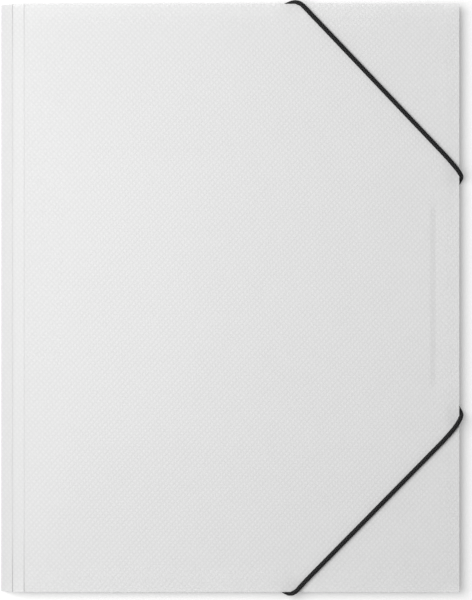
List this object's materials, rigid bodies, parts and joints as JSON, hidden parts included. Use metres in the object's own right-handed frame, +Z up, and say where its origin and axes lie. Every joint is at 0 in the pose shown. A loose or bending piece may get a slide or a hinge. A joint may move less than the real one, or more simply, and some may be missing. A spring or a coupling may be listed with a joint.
{
  "type": "elastic folder",
  "caption": "Thin frosted plastic document folder with inner flaps, a creased spine and a black elastic across its free corners.",
  "frame": {"origin": "on the table, under the middle of the closed folder with its elastic", "axes": "+Z up through the closed front cover, +Y towards the top edge, spine at -X and free edge at +X"},
  "size_m": [0.2527, 0.3256, 0.0107],
  "materials": {
    "frosted_sheet": "frosted translucent polypropylene with a fine diamond emboss",
    "elastic": "black braided round elastic",
    "bar_steel": "dull plated steel"
  },
  "bodies": {
    "root": {"back_cover": "frosted_sheet", "back_hinge_strip": "frosted_sheet", "upper_front_elastic": "elastic", "lower_front_elastic": "elastic", "upper_end_elastic": "elastic", "lower_end_elastic": "elastic", "upper_side_elastic": "elastic", "lower_side_elastic": "elastic", "inner_elastic": "elastic", "upper_end_bar": "bar_steel", "lower_end_bar": "bar_steel"},
    "spine": {"spine_panel": "frosted_sheet"},
    "front_strip": {"front_hinge_strip": "frosted_sheet"},
    "cover": {"front_cover": "frosted_sheet"},
    "top_gusset": {"top_gusset": "frosted_sheet"},
    "top_flap": {"top_flap": "frosted_sheet"},
    "bottom_gusset": {"bottom_gusset": "frosted_sheet"},
    "bottom_flap": {"bottom_flap": "frosted_sheet"},
    "side_gusset": {"side_gusset": "frosted_sheet"},
    "side_flap": {"side_flap": "frosted_sheet"}
  },
  "joints": [
    {"name": "cover_opening", "type": "hinge", "parent": "root", "child": "spine", "pos_m": [-0.12607, 0, 0.0005], "axis": [0, -1, 0], "range_deg": [0, 139.03], "deforming": ["upper_front_elastic", "lower_front_elastic"]},
    {"name": "spine_to_strip_crease", "type": "hinge", "parent": "spine", "child": "front_strip", "pos_m": [-0.11943, 0, 0.00627], "axis": [0, -1, 0], "range_deg": [0, 28.96]},
    {"name": "strip_to_cover_crease", "type": "hinge", "parent": "front_strip", "child": "cover", "pos_m": [-0.11317, 0, 0.0076], "axis": [0, -1, 0], "range_deg": [0, 12]},
    {"name": "top_gusset_fold", "type": "hinge", "parent": "root", "child": "top_gusset", "pos_m": [0, 0.15981, 0.0031], "axis": [-1, 0, 0], "range_deg": [0, 67.25]},
    {"name": "top_flap_crease", "type": "hinge", "parent": "top_gusset", "child": "top_flap", "pos_m": [0, 0.15289, 0.006], "axis": [-1, 0, 0], "range_deg": [0, 22.75]},
    {"name": "bottom_gusset_fold", "type": "hinge", "parent": "root", "child": "bottom_gusset", "pos_m": [0, -0.15981, 0.0031], "axis": [1, 0, 0], "range_deg": [0, 67.25]},
    {"name": "bottom_flap_crease", "type": "hinge", "parent": "bottom_gusset", "child": "bottom_flap", "pos_m": [0, -0.15289, 0.006], "axis": [1, 0, 0], "range_deg": [0, 22.75]},
    {"name": "side_gusset_fold", "type": "hinge", "parent": "root", "child": "side_gusset", "pos_m": [0.12335, 0, 0.0031], "axis": [0, 1, 0], "range_deg": [0, 105.44]},
    {"name": "side_flap_crease", "type": "hinge", "parent": "side_gusset", "child": "side_flap", "pos_m": [0.11683, 0, 0.0068], "axis": [0, 1, 0], "range_deg": [0, 29.56]}
  ],
  "couplings": [
    {"joint": "spine_to_strip_crease", "follows": "cover_opening", "ratio": 0.20833},
    {"joint": "strip_to_cover_crease", "follows": "cover_opening", "ratio": 0.0863},
    {"joint": "top_gusset_fold", "follows": "cover_opening", "ratio": 0.48371},
    {"joint": "top_flap_crease", "follows": "cover_opening", "ratio": 0.1636},
    {"joint": "bottom_gusset_fold", "follows": "cover_opening", "ratio": 0.48371},
    {"joint": "bottom_flap_crease", "follows": "cover_opening", "ratio": 0.1636},
    {"joint": "side_gusset_fold", "follows": "cover_opening", "ratio": 0.75837},
    {"joint": "side_flap_crease", "follows": "cover_opening", "ratio": 0.2126}
  ]
}
